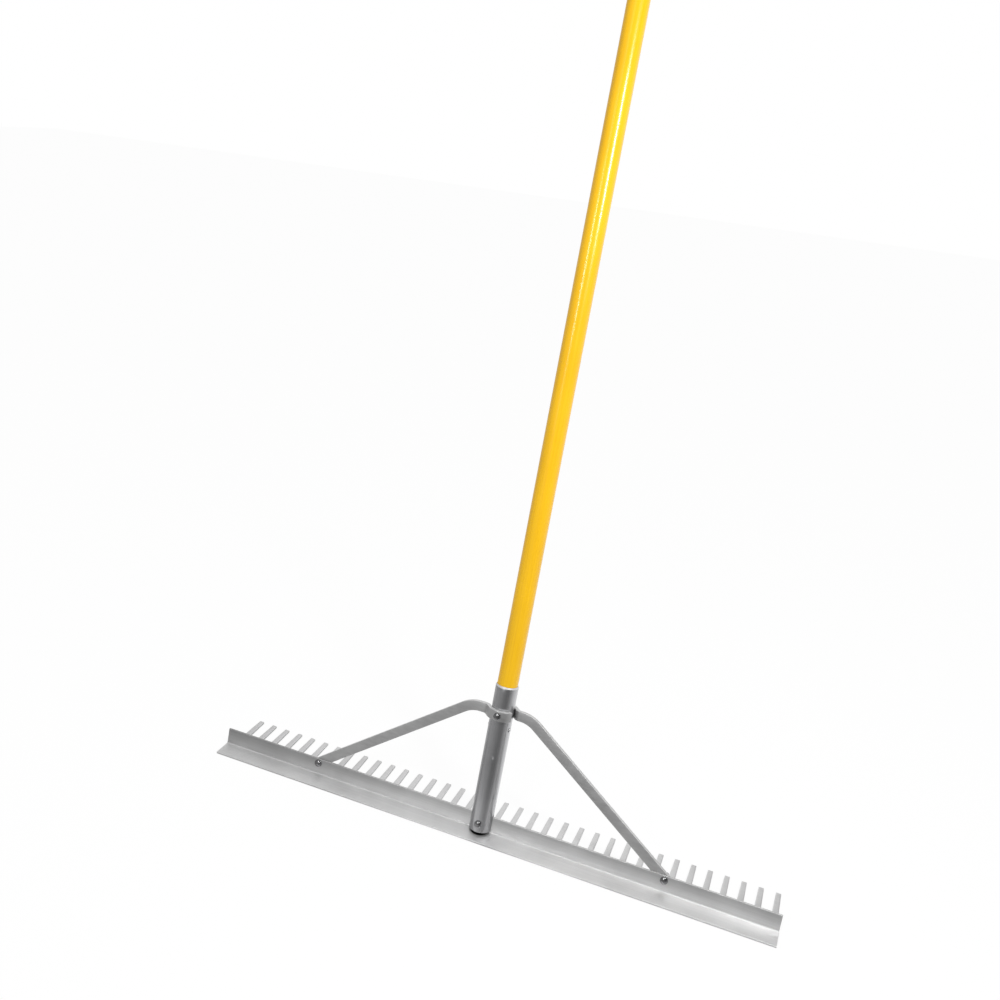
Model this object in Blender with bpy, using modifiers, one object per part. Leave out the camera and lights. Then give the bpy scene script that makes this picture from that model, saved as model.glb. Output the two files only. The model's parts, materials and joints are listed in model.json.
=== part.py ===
"""Garden rake: a wide aluminium head on a yellow glass-fibre handle, with two bent strap braces.

Units are metres. The head stands flat on the plane z = 0 with its toothless blade towards -Y and
its teeth towards +Y. The origin lies under the crease between blade and flange, on the handle's
centre line. The handle leans from there towards +Y.

Everything that follows the handle is placed in the handle's own axes, by parenting to an empty on
the crease: there x runs along the head, y away from the blade side and z up the handle, with y = 0
on the flange's front face.
"""

import math

import bmesh
import bpy
from mathutils import Matrix, Vector

MM = 0.001

# General fit
FIT_GAP = 0.3 * MM  # between pieces that touch, and round every shank in its hole
ROUND_SIDES = 40  # flats on the handle and its socket
SMALL_SIDES = 20  # flats on bolts, rivets and washers

# Head: one T-shaped extrusion, with the teeth punched out of its plate
HEAD_LENGTH = 914.4 * MM
HEAD_OFFSET = -0.6 * MM  # the head's middle, from the handle's
PLATE_THICKNESS = 3.2 * MM
BLADE_DEPTH = 30.0 * MM  # crease to the smooth outer edge
FLANGE_HEIGHT = 25.0 * MM  # crease to the flange's top edge
FLANGE_THICKNESS = 3.2 * MM
HANDLE_LEAN = math.radians(12.5)  # flange and handle, from square to the plate
CREASE_RADIUS = 2.5 * MM
BACK_RADIUS = 2.5 * MM
PLATE_EDGE_RADIUS = 0.7 * MM

# Teeth
TOOTH_PITCH = 25.4 * MM
TOOTH_ROW_OFFSET = 2.9 * MM  # the row's middle, from the handle's
TOOTH_REACH = 79.5 * MM  # crease to the tips
TOOTH_ROOT_WIDTH = 10.7 * MM
TOOTH_TIP_WIDTH = 7.8 * MM
ROOT_WEB = 4.2 * MM  # plate left between the flange's back and the gaps
GAP_CORNER_RADIUS = 1.8 * MM
TIP_CORNER_RADIUS = 1.0 * MM

# Handle: a hollow glass-fibre tube with a plug in its lower end and a cap on its top
HANDLE_DIAMETER = 31.75 * MM
HANDLE_WALL = 2.5 * MM
HANDLE_LENGTH = 1676.4 * MM
PLUG_LENGTH = 195.0 * MM
PLUG_CHAMFER = 1.0 * MM
CAP_THICKNESS = 5.0 * MM
CAP_SPIGOT = 22.0 * MM
CAP_EDGE_RADIUS = 2.5 * MM

# Socket: a tube cut square and slotted up from its foot, which stands astride the flange
SOCKET_WALL = 1.3 * MM
SOCKET_FOOT = 1.7 * MM  # the tube's lower end, above the crease
SOCKET_BACK_RISE = 2.3 * MM  # the half behind the flange stops this far above the teeth
SOCKET_LENGTH = 235.0 * MM
SOCKET_RIM_CHAMFER = 0.8 * MM
SLOT_RISE = 4.0 * MM  # free height of the slot above the flange's top edge
HANDLE_END_RISE = 2.0 * MM  # the handle's lower end, above the slot

# Braces: one flat bar each, wrapped part way round the socket
BAR_WIDTH = 15.4 * MM
BAR_THICKNESS = 6.35 * MM
BAR_EDGE_RADIUS = 0.6 * MM
COLLAR_HEIGHT = 192.7 * MM  # middle of the wrap, above the crease
WRAP_END = math.radians(144.5)
WRAP_LEAVE = math.radians(37.0)
WRAP_STEP = math.radians(7.0)
BRACE_SETOUT = 3.3 * MM  # where the run starts, from the socket's middle plane to the wrap's side
BRACE_BEND_RADIUS = 8.0 * MM  # flat-wise, beside the socket
BRACE_EDGE_RADIUS = 46.0 * MM  # edge-wise, where the brace turns down
BRACE_LEVEL_RUN = 22.4 * MM  # from the flat-wise bend to the edge-wise one
BRACE_SHIFT = -2.2 * MM  # both edge-wise bends, along the head from even places
BRACE_BOLT_X = 287.0 * MM
TAB_FOLD_RADIUS = 30.0 * MM
TAB_FOLD_TO_BOLT = 30.0 * MM  # along the bar
BOLT_TO_TAB_END = 9.5 * MM

# Fasteners
BOLT_DIAMETER = 6.0 * MM
BOLT_HEAD_DIAMETER = 11.6 * MM
BOLT_HEAD_HEIGHT = 3.9 * MM
BOLT_HEAD_SKIRT = 0.9 * MM
BOLT_END = 2.6 * MM  # what stands out of the nut
BRACE_BOLT_HEIGHT = 17.7 * MM  # above the crease
FOOT_BOLT_HEIGHT = 15.0 * MM
NUT_ACROSS_FLATS = 10.0 * MM
NUT_HEIGHT = 5.0 * MM
NUT_CHAMFER = 0.6 * MM
WASHER_DIAMETER = 12.0 * MM
WASHER_THICKNESS = 1.6 * MM
RIVET_DIAMETER = 4.0 * MM
RIVET_HEAD_DIAMETER = 6.8 * MM
RIVET_HEAD_HEIGHT = 1.4 * MM
RIVET_BELOW_COLLAR = 24.3 * MM
RIVET_TURN = math.radians(10.0)  # its right end forwards, from square to the bolts

# Worked out from the sizes above
HANDLE_RADIUS = HANDLE_DIAMETER / 2
HANDLE_BORE = HANDLE_RADIUS - HANDLE_WALL
SOCKET_BORE = HANDLE_RADIUS + FIT_GAP
SOCKET_RADIUS = SOCKET_BORE + SOCKET_WALL
SOCKET_Y = FLANGE_THICKNESS / 2
SOCKET_TOP = SOCKET_FOOT + SOCKET_LENGTH
SOCKET_BACK_FOOT = (SOCKET_Y + SOCKET_RADIUS) * math.tan(HANDLE_LEAN) + SOCKET_BACK_RISE
SLOT_TOP = FLANGE_HEIGHT + SLOT_RISE
HANDLE_FOOT = SLOT_TOP + HANDLE_END_RISE
HANDLE_TOP = HANDLE_FOOT + HANDLE_LENGTH
WRAP_INNER = SOCKET_RADIUS + FIT_GAP
WRAP_MIDDLE = WRAP_INNER + BAR_THICKNESS / 2
WRAP_OUTER = WRAP_INNER + BAR_THICKNESS
TAB_Y = FLANGE_THICKNESS + FIT_GAP + BAR_THICKNESS / 2
RIVET_HEIGHT = COLLAR_HEIGHT - RIVET_BELOW_COLLAR
BOLT_HOLE_RADIUS = BOLT_DIAMETER / 2 + FIT_GAP
RIVET_HOLE_RADIUS = RIVET_DIAMETER / 2 + FIT_GAP
TOOTH_COUNT = int(HEAD_LENGTH / TOOTH_PITCH + 0.001)

FACE_FRONT = (math.radians(90), 0.0, 0.0)  # turns a piece's +Z to the handle axes' -Y
FACE_RIGHT = (0.0, math.radians(90), -RIVET_TURN)  # turns a piece's +Z to +X and a little forwards


def clear_scene():
    for item in list(bpy.data.objects):
        bpy.data.objects.remove(item, do_unlink=True)


def make_collection(name):
    group = bpy.data.collections.new(name)
    bpy.context.scene.collection.children.link(group)
    return group


def make_material(name, colour, roughness, metallic):
    material = bpy.data.materials.new(name)
    material.use_nodes = True
    shader = material.node_tree.nodes["Principled BSDF"]
    shader.inputs["Base Color"].default_value = (*colour, 1.0)
    shader.inputs["Roughness"].default_value = roughness
    shader.inputs["Metallic"].default_value = metallic
    return material


def add_part(name, data, material, parent=None, location=(0, 0, 0), rotation=(0, 0, 0)):
    part = bpy.data.objects.new(name, data)
    parts.objects.link(part)
    part.parent = parent
    part.location = location
    part.rotation_euler = rotation
    data.materials.append(material)
    return part


def add_cutter(name, mesh, parent=None, location=(0, 0, 0), rotation=(0, 0, 0)):
    cutter = bpy.data.objects.new(name, mesh)
    cutters.objects.link(cutter)
    cutter.parent = parent
    cutter.location = location
    cutter.rotation_euler = rotation
    cutter.hide_render = True
    cutter.display_type = "WIRE"
    return cutter


def cut(part, *tools):
    for tool in tools:
        modifier = part.modifiers.new(tool.name, "BOOLEAN")
        modifier.operation = "DIFFERENCE"
        modifier.solver = "EXACT"
        modifier.object = tool


def rounded(corners, closed, arc_step=math.radians(22.5)):
    """Points of a line through the corners, each given as (point, radius) and turned on an arc."""
    points = []
    last = len(corners) - 1
    for i, (corner, radius) in enumerate(corners):
        corner = Vector(corner)
        if radius <= 0 or (not closed and i in (0, last)):
            points.append(corner)
            continue
        back = (Vector(corners[i - 1][0]) - corner).normalized()
        ahead = (Vector(corners[(i + 1) % len(corners)][0]) - corner).normalized()
        half = back.angle(ahead) / 2
        centre = corner + (back + ahead).normalized() * radius / math.sin(half)
        start = corner + back * radius / math.tan(half) - centre
        end = corner + ahead * radius / math.tan(half) - centre
        turn = start.angle(end)
        steps = max(2, math.ceil(turn / arc_step))
        for k in range(steps + 1):
            share = k / steps
            spoke = start * math.sin((1 - share) * turn) + end * math.sin(share * turn)
            points.append(centre + spoke / math.sin(turn))
    return points


def add_spline(curve, points, closed):
    spline = curve.splines.new("POLY")
    spline.points.add(len(points) - 1)
    for slot, point in zip(spline.points, points):
        slot.co = (*point, 1.0)
    spline.use_cyclic_u = closed


def outline_curve(name, outlines, depth):
    """A 2D curve of closed outlines, filled and extruded to the depth, centred on its plane."""
    curve = bpy.data.curves.new(name, "CURVE")
    curve.dimensions = "2D"
    curve.fill_mode = "BOTH"
    curve.extrude = depth / 2
    for outline in outlines:
        add_spline(curve, outline, True)
    return curve


def mesh_from_curve(curve_object):
    """The curve's evaluated mesh with its caps welded on, in the curve's own axes."""
    bpy.context.view_layer.update()
    graph = bpy.context.evaluated_depsgraph_get()
    mesh = bpy.data.meshes.new_from_object(curve_object.evaluated_get(graph))
    work = bmesh.new()
    work.from_mesh(mesh)
    bmesh.ops.remove_doubles(work, verts=work.verts, dist=0.000001)
    bmesh.ops.recalc_face_normals(work, faces=work.faces)
    work.to_mesh(mesh)
    work.free()
    mesh.materials.clear()
    return mesh


def solid_from_outlines(name, outlines, depth):
    """A mesh of the extruded outlines, which run in local x and y."""
    guide = bpy.data.objects.new(name, outline_curve(name, outlines, depth))
    cutters.objects.link(guide)
    mesh = mesh_from_curve(guide)
    bpy.data.objects.remove(guide, do_unlink=True)
    return mesh


def cylinder_mesh(name, radius, length, sides):
    """A closed cylinder along Z, centred on its origin."""
    mesh = bpy.data.meshes.new(name)
    work = bmesh.new()
    bmesh.ops.create_cone(
        work, cap_ends=True, segments=sides, radius1=radius, radius2=radius, depth=length
    )
    work.to_mesh(mesh)
    work.free()
    return mesh


def box_mesh(name, low, high):
    mesh = bpy.data.meshes.new(name)
    work = bmesh.new()
    size = Vector(high) - Vector(low)
    place = Matrix.Translation((Vector(low) + Vector(high)) / 2) @ Matrix.Diagonal((*size, 1.0))
    bmesh.ops.create_cube(work, size=1.0, matrix=place)
    work.to_mesh(mesh)
    work.free()
    return mesh


def profile_mesh(name, profile, closed):
    """A profile of (radius, height) points, which a Screw modifier turns about Z."""
    mesh = bpy.data.meshes.new(name)
    edges = [(i, i + 1) for i in range(len(profile) - 1)]
    if closed:
        edges.append((len(profile) - 1, 0))
    mesh.from_pydata([(radius, 0.0, height) for radius, height in profile], edges, [])
    return mesh


def turn(part, sides):
    modifier = part.modifiers.new("turn", "SCREW")
    modifier.steps = sides
    modifier.render_steps = sides
    modifier.use_merge_vertices = True
    modifier.merge_threshold = 0.00001
    modifier.use_smooth_shade = False


def dome(radius, skirt, height, steps=5):
    """A domed head above z = 0, from its crown on the axis down to the foot of its skirt."""
    points = []
    for k in range(steps + 1):
        angle = math.radians(90) * k / steps
        points.append((radius * math.sin(angle), skirt + (height - skirt) * math.cos(angle)))
    points.append((radius, 0.0))
    return points


def make_head(material):
    """The T section runs along X. Gaps between the teeth are punched down through its plate."""
    up = Vector((math.sin(HANDLE_LEAN), math.cos(HANDLE_LEAN), 0))
    back = Vector((math.cos(HANDLE_LEAN), -math.sin(HANDLE_LEAN), 0))
    crease = Vector((0, PLATE_THICKNESS, 0))
    flange_front = crease + up * FLANGE_HEIGHT
    flange_back = flange_front + back * FLANGE_THICKNESS
    back_foot = Vector((FLANGE_THICKNESS / math.cos(HANDLE_LEAN), PLATE_THICKNESS, 0))
    edge = PLATE_EDGE_RADIUS
    section = rounded(
        [
            ((-BLADE_DEPTH, 0, 0), edge),
            ((TOOTH_REACH, 0, 0), 0),
            ((TOOTH_REACH, PLATE_THICKNESS, 0), 0),
            (back_foot, BACK_RADIUS),
            (flange_back, edge),
            (flange_front, edge),
            (crease, CREASE_RADIUS),
            ((-BLADE_DEPTH, PLATE_THICKNESS, 0), edge),
        ],
        closed=True,
    )
    mesh = solid_from_outlines("head_section", [section], HEAD_LENGTH)
    # local x, y and z of the outline become Y, Z and X
    stand = (math.radians(90), 0.0, math.radians(90))
    head = add_part("rake_head", mesh, material, location=(HEAD_OFFSET, 0, 0), rotation=stand)
    cut(head, make_gap_cutter(back_foot.x + ROOT_WEB))
    return head


def make_gap_cutter(root_y):
    """One tapered prism for each gap, and a wider one past each outer tooth."""
    reach_past = 6.0 * MM
    row_start = TOOTH_ROW_OFFSET - (TOOTH_COUNT - 1) / 2 * TOOTH_PITCH
    taper = (TOOTH_ROOT_WIDTH - TOOTH_TIP_WIDTH) / 2 / (TOOTH_REACH - root_y)
    half_root = TOOTH_ROOT_WIDTH / 2
    tip_half = TOOTH_TIP_WIDTH / 2
    past_half = tip_half - taper * reach_past
    round_y = TOOTH_REACH - TIP_CORNER_RADIUS
    head_low = HEAD_OFFSET - HEAD_LENGTH / 2
    head_high = HEAD_OFFSET + HEAD_LENGTH / 2

    def flank(middle, side):
        """A tooth's side from its root to its rounded tip corner, then out past the plate's edge."""
        x_tip = middle + side * tip_half
        points = [Vector((middle + side * half_root, root_y, 0))]
        corner = rounded(
            [
                (points[0], 0),
                ((x_tip, TOOTH_REACH, 0), TIP_CORNER_RADIUS),
                ((middle, TOOTH_REACH, 0), 0),
            ],
            closed=False,
        )
        points += corner[1:-1]
        points.append(Vector((points[-1].x, TOOTH_REACH + reach_past, 0)))
        return points

    outlines = []
    for gap in range(TOOTH_COUNT + 1):
        left_tooth = row_start + (gap - 1) * TOOTH_PITCH
        right_tooth = row_start + gap * TOOTH_PITCH
        if gap == 0:
            left = [
                Vector((head_low - reach_past, root_y, 0)),
                Vector((head_low - reach_past, TOOTH_REACH + reach_past, 0)),
            ]
        else:
            left = flank(left_tooth, 1)
        if gap == TOOTH_COUNT:
            right = [
                Vector((head_high + reach_past, root_y, 0)),
                Vector((head_high + reach_past, TOOTH_REACH + reach_past, 0)),
            ]
        else:
            right = flank(right_tooth, -1)
        loop = [(point, 0) for point in left] + [(point, 0) for point in reversed(right)]
        loop[0] = (left[0], 0 if gap == 0 else GAP_CORNER_RADIUS)
        loop[-1] = (right[0], 0 if gap == TOOTH_COUNT else GAP_CORNER_RADIUS)
        outlines.append(rounded(loop, closed=True, arc_step=math.radians(30)))
    mesh = solid_from_outlines("gap_outlines", outlines, PLATE_THICKNESS * 4)
    return add_cutter("tooth_gaps", mesh, location=(0, 0, PLATE_THICKNESS / 2))


def make_hole_cutters():
    """Every drilled hole, in the handle's axes. One cutter serves all the pieces on its line."""
    span = 4 * HANDLE_DIAMETER
    holes = {}
    for name, radius, place, rotation in (
        ("collar_hole", BOLT_HOLE_RADIUS, (0, SOCKET_Y, COLLAR_HEIGHT), FACE_FRONT),
        ("foot_hole", BOLT_HOLE_RADIUS, (0, SOCKET_Y, FOOT_BOLT_HEIGHT), FACE_FRONT),
        ("left_brace_hole", BOLT_HOLE_RADIUS, (-BRACE_BOLT_X, 0, BRACE_BOLT_HEIGHT), FACE_FRONT),
        ("right_brace_hole", BOLT_HOLE_RADIUS, (BRACE_BOLT_X, 0, BRACE_BOLT_HEIGHT), FACE_FRONT),
        ("rivet_hole", RIVET_HOLE_RADIUS, (0, SOCKET_Y, RIVET_HEIGHT), FACE_RIGHT),
    ):
        mesh = cylinder_mesh(name, radius, span, SMALL_SIDES)
        holes[name] = add_cutter(name, mesh, handle_axes, place, rotation)
    return holes


def make_socket(material):
    """A tube with chamfered rims, slotted for the flange and shorter behind it."""
    outer, inner, rim = SOCKET_RADIUS, SOCKET_BORE, SOCKET_RIM_CHAMFER
    profile = [
        (inner + FIT_GAP, SOCKET_TOP),
        (outer - rim, SOCKET_TOP),
        (outer, SOCKET_TOP - rim),
        (outer, SOCKET_FOOT + rim / 2),
        (outer - rim / 2, SOCKET_FOOT),
        (inner, SOCKET_FOOT),
        (inner, SOCKET_TOP - FIT_GAP),
    ]
    mesh = profile_mesh("socket_tube", profile, closed=True)
    socket = add_part("socket_tube", mesh, material, handle_axes, location=(0, SOCKET_Y, 0))
    turn(socket, ROUND_SIDES)
    below = SOCKET_FOOT - outer
    slot = box_mesh(
        "socket_slot",
        (-2 * outer, -FIT_GAP, below),
        (2 * outer, FLANGE_THICKNESS + FIT_GAP, SLOT_TOP),
    )
    back_end = box_mesh(
        "socket_back_end",
        (-2 * outer, SOCKET_Y, below),
        (2 * outer, 3 * outer, SOCKET_BACK_FOOT),
    )
    cut(
        socket,
        add_cutter("socket_slot", slot, handle_axes),
        add_cutter("socket_back_end", back_end, handle_axes),
        holes["foot_hole"],
        holes["rivet_hole"],
        holes["collar_hole"],
    )
    return socket


def make_handle(material):
    profile = [
        (HANDLE_RADIUS, HANDLE_TOP),
        (HANDLE_RADIUS, HANDLE_FOOT),
        (HANDLE_BORE, HANDLE_FOOT),
        (HANDLE_BORE, HANDLE_TOP),
    ]
    mesh = profile_mesh("handle", profile, closed=True)
    handle = add_part("handle", mesh, material, handle_axes, location=(0, SOCKET_Y, 0))
    turn(handle, ROUND_SIDES)
    cut(handle, holes["rivet_hole"], holes["collar_hole"])
    return handle


def make_core_plug(material):
    """A turned dowel that keeps the hollow handle from crushing under its bolt and rivet."""
    radius = HANDLE_BORE - FIT_GAP
    top = HANDLE_FOOT + PLUG_LENGTH
    profile = [
        (0.0, top),
        (radius - PLUG_CHAMFER, top),
        (radius, top - PLUG_CHAMFER),
        (radius, HANDLE_FOOT),
        (0.0, HANDLE_FOOT),
    ]
    mesh = profile_mesh("handle_core_plug", profile, closed=False)
    plug = add_part("handle_core_plug", mesh, material, handle_axes, location=(0, SOCKET_Y, 0))
    turn(plug, ROUND_SIDES)
    cut(plug, holes["rivet_hole"], holes["collar_hole"])
    return plug


def make_end_cap(material):
    """A flat-topped cap with a spigot in the handle's bore."""
    seat = HANDLE_TOP + FIT_GAP
    top = seat + CAP_THICKNESS
    spigot_radius = HANDLE_BORE - FIT_GAP
    edge = [
        (point.x, point.y)
        for point in rounded(
            [
                ((0, top, 0), 0),
                ((HANDLE_RADIUS, top, 0), CAP_EDGE_RADIUS),
                ((HANDLE_RADIUS, seat, 0), 0),
            ],
            closed=False,
        )
    ]
    profile = edge + [
        (spigot_radius, seat),
        (spigot_radius, HANDLE_TOP - CAP_SPIGOT),
        (0.0, HANDLE_TOP - CAP_SPIGOT),
    ]
    mesh = profile_mesh("handle_end_cap", profile, closed=False)
    cap = add_part("handle_end_cap", mesh, material, handle_axes, location=(0, SOCKET_Y, 0))
    turn(cap, ROUND_SIDES)
    return cap


def brace_bend_x():
    """Where a brace, leaving its wrap on a tangent, comes down to its set-out and bends level."""
    return (WRAP_MIDDLE - BRACE_SETOUT * math.sin(WRAP_LEAVE)) / math.cos(WRAP_LEAVE)


def brace_turn_x(side):
    """Where the brace's middle line turns down. The side is -1 for the left and 1 for the right."""
    return brace_bend_x() + BRACE_LEVEL_RUN + side * BRACE_SHIFT


def brace_slope(side):
    """The slope of the brace's middle line, from where it turns down to its bolt."""
    return math.atan2(COLLAR_HEIGHT - BRACE_BOLT_HEIGHT, BRACE_BOLT_X - brace_turn_x(side))


def brace_path(side):
    """Middle line of a brace: round the socket, out on a tangent, level, down, and flat as a tab."""
    points = []
    steps = math.ceil((WRAP_END - WRAP_LEAVE) / WRAP_STEP)
    for k in range(steps + 1):
        angle = WRAP_END + (WRAP_LEAVE - WRAP_END) * k / steps
        x = side * WRAP_MIDDLE * math.cos(angle)
        y = SOCKET_Y + side * WRAP_MIDDLE * math.sin(angle)
        points.append(((x, y, COLLAR_HEIGHT), 0))
    run = math.cos(brace_slope(side))
    drop = math.sin(brace_slope(side))
    fold_x = BRACE_BOLT_X - TAB_FOLD_TO_BOLT * run
    fold_z = BRACE_BOLT_HEIGHT + TAB_FOLD_TO_BOLT * drop
    bend_y = SOCKET_Y + side * BRACE_SETOUT
    turn_share = (brace_turn_x(side) - brace_bend_x()) / (fold_x - brace_bend_x())
    turn_y = bend_y + (TAB_Y - bend_y) * turn_share
    end_x = BRACE_BOLT_X + BOLT_TO_TAB_END * run
    end_z = BRACE_BOLT_HEIGHT - BOLT_TO_TAB_END * drop
    points.append(((side * brace_bend_x(), bend_y, COLLAR_HEIGHT), BRACE_BEND_RADIUS))
    points.append(((side * brace_turn_x(side), turn_y, COLLAR_HEIGHT), BRACE_EDGE_RADIUS))
    points.append(((side * fold_x, TAB_Y, fold_z), TAB_FOLD_RADIUS))
    points.append(((side * end_x, TAB_Y, end_z), 0))
    return rounded(points, closed=False, arc_step=math.radians(6))


def make_brace(name, side, material, hole):
    """The bar's section swept along its path with its width kept upright."""
    half_width, half_thickness = BAR_WIDTH / 2, BAR_THICKNESS / 2
    section = rounded(
        [
            ((half_thickness, -half_width, 0), BAR_EDGE_RADIUS),
            ((half_thickness, half_width, 0), BAR_EDGE_RADIUS),
            ((-half_thickness, half_width, 0), BAR_EDGE_RADIUS),
            ((-half_thickness, -half_width, 0), BAR_EDGE_RADIUS),
        ],
        closed=True,
        arc_step=math.radians(45),
    )
    section_curve = bpy.data.curves.new("bar_section", "CURVE")
    section_curve.dimensions = "2D"
    section_curve.fill_mode = "NONE"
    add_spline(section_curve, section, True)
    section_guide = bpy.data.objects.new("bar_section", section_curve)
    cutters.objects.link(section_guide)
    path = bpy.data.curves.new(name, "CURVE")
    path.dimensions = "3D"
    path.twist_mode = "Z_UP"
    path.bevel_mode = "OBJECT"
    path.bevel_object = section_guide
    path.use_fill_caps = True
    add_spline(path, brace_path(side), False)
    guide = bpy.data.objects.new(name + "_path", path)
    cutters.objects.link(guide)
    mesh = mesh_from_curve(guide)
    bpy.data.objects.remove(guide, do_unlink=True)
    bpy.data.objects.remove(section_guide, do_unlink=True)
    brace = add_part(name, mesh, material, handle_axes)
    cut(brace, hole, holes["collar_hole"])
    return brace


def add_bolt_set(prefix, suffix, place, grip, steel):
    """Bolt, washer and nut on one line. The head's seat is at the place and faces the blade side."""
    x, y, z = place
    washer_y = y + grip + FIT_GAP
    nut_y = washer_y + WASHER_THICKNESS + FIT_GAP
    shank = nut_y + NUT_HEIGHT + BOLT_END - y
    add_bolt(prefix + "_bolt" + suffix, place, shank, steel)
    add_washer(prefix + "_washer" + suffix, (x, washer_y, z), steel)
    add_nut(prefix + "_nut" + suffix, (x, nut_y, z), steel)


def add_bolt(name, place, shank, material):
    radius = BOLT_DIAMETER / 2
    tip_chamfer = radius / 6
    profile = dome(BOLT_HEAD_DIAMETER / 2, BOLT_HEAD_SKIRT, BOLT_HEAD_HEIGHT) + [
        (radius, 0.0),
        (radius, tip_chamfer - shank),
        (radius - tip_chamfer, -shank),
        (0.0, -shank),
    ]
    mesh = profile_mesh(name, profile, closed=False)
    bolt = add_part(name, mesh, material, handle_axes, place, FACE_FRONT)
    turn(bolt, SMALL_SIDES)


def add_washer(name, place, material):
    """A flat ring whose front face is at the place."""
    profile = [
        (WASHER_DIAMETER / 2, 0.0),
        (WASHER_DIAMETER / 2, -WASHER_THICKNESS),
        (BOLT_HOLE_RADIUS, -WASHER_THICKNESS),
        (BOLT_HOLE_RADIUS, 0.0),
    ]
    mesh = profile_mesh(name, profile, closed=True)
    washer = add_part(name, mesh, material, handle_axes, place, FACE_FRONT)
    turn(washer, SMALL_SIDES)


def add_nut(name, place, material):
    """A hexagon with chamfered corners, its front face at the place and its flats level."""
    corner_radius = NUT_ACROSS_FLATS / 2 / math.cos(math.radians(30))
    mesh = cylinder_mesh(name, corner_radius, NUT_HEIGHT, 6)
    mesh.transform(Matrix.Rotation(math.radians(30), 4, "Z"))
    mesh.transform(Matrix.Translation((0, 0, -NUT_HEIGHT / 2)))
    nut = add_part(name, mesh, material, handle_axes, place, FACE_FRONT)
    bevel = nut.modifiers.new("chamfer", "BEVEL")
    bevel.width = NUT_CHAMFER
    bevel.segments = 1
    bevel.limit_method = "ANGLE"
    bevel.angle_limit = math.radians(80)
    bore = cylinder_mesh(name + "_bore", BOLT_HOLE_RADIUS, 4 * NUT_HEIGHT, SMALL_SIDES)
    cut(nut, add_cutter(name + "_bore", bore, handle_axes, place, FACE_FRONT))


def add_rivet(name, height, material):
    """A rivet right through socket, handle and plug, with the same low dome at both ends."""
    radius = RIVET_DIAMETER / 2
    seat = SOCKET_RADIUS + FIT_GAP
    head = dome(RIVET_HEAD_DIAMETER / 2, 0.0, RIVET_HEAD_HEIGHT, steps=4)[:-1]
    upper = [(r, seat + z) for r, z in head] + [(radius, seat)]
    lower = [(r, -z) for r, z in reversed(upper)]
    mesh = profile_mesh(name, upper + lower, closed=False)
    rivet = add_part(name, mesh, material, handle_axes, (0, SOCKET_Y, height), FACE_RIGHT)
    turn(rivet, SMALL_SIDES)


clear_scene()
parts = make_collection("garden_rake")
cutters = make_collection("cutters")

aluminium = make_material("aluminium", (0.62, 0.63, 0.64), 0.35, 1.0)
aluminium_bar = make_material("aluminium_bar", (0.50, 0.51, 0.52), 0.45, 1.0)
aluminium_tube = make_material("aluminium_tube", (0.55, 0.56, 0.57), 0.35, 1.0)
yellow_glass_fibre = make_material("yellow_glass_fibre", (0.85, 0.52, 0.02), 0.35, 0.0)
bright_steel = make_material("bright_steel", (0.75, 0.75, 0.76), 0.15, 1.0)
rivet_metal = make_material("rivet_metal", (0.66, 0.66, 0.67), 0.25, 1.0)
plug_wood = make_material("plug_wood", (0.55, 0.36, 0.18), 0.7, 0.0)
cap_plastic = make_material("cap_plastic", (0.02, 0.02, 0.02), 0.5, 0.0)

handle_axes = bpy.data.objects.new("handle_axes", None)
parts.objects.link(handle_axes)
handle_axes.location = (0, 0, PLATE_THICKNESS)
handle_axes.rotation_euler = (-HANDLE_LEAN, 0, 0)

holes = make_hole_cutters()

rake_head = make_head(aluminium)
cut(rake_head, holes["left_brace_hole"], holes["right_brace_hole"], holes["foot_hole"])
make_socket(aluminium_tube)
make_handle(yellow_glass_fibre)
make_core_plug(plug_wood)
make_end_cap(cap_plastic)
make_brace("brace_left", -1, aluminium_bar, holes["left_brace_hole"])
make_brace("brace_right", 1, aluminium_bar, holes["right_brace_hole"])

tab_grip = TAB_Y + BAR_THICKNESS / 2
for word, sign in (("_left", -1), ("_right", 1)):
    brace_seat = (sign * BRACE_BOLT_X, -FIT_GAP, BRACE_BOLT_HEIGHT)
    add_bolt_set("brace", word, brace_seat, tab_grip + FIT_GAP, bright_steel)
collar_seat = (0, SOCKET_Y - WRAP_OUTER - FIT_GAP, COLLAR_HEIGHT)
add_bolt_set("collar", "", collar_seat, 2 * WRAP_OUTER + FIT_GAP, bright_steel)
foot_seat = (0, SOCKET_Y - SOCKET_RADIUS - FIT_GAP, FOOT_BOLT_HEIGHT)
add_bolt_set("foot", "", foot_seat, 2 * SOCKET_RADIUS + FIT_GAP, bright_steel)
add_rivet("cross_rivet", RIVET_HEIGHT, rivet_metal)

bpy.context.view_layer.update()
for part in parts.objects:
    if part.type == "MESH":
        part.data.shade_smooth()
        part.data.set_sharp_from_angle(angle=math.radians(30))
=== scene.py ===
import json
import math

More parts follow.
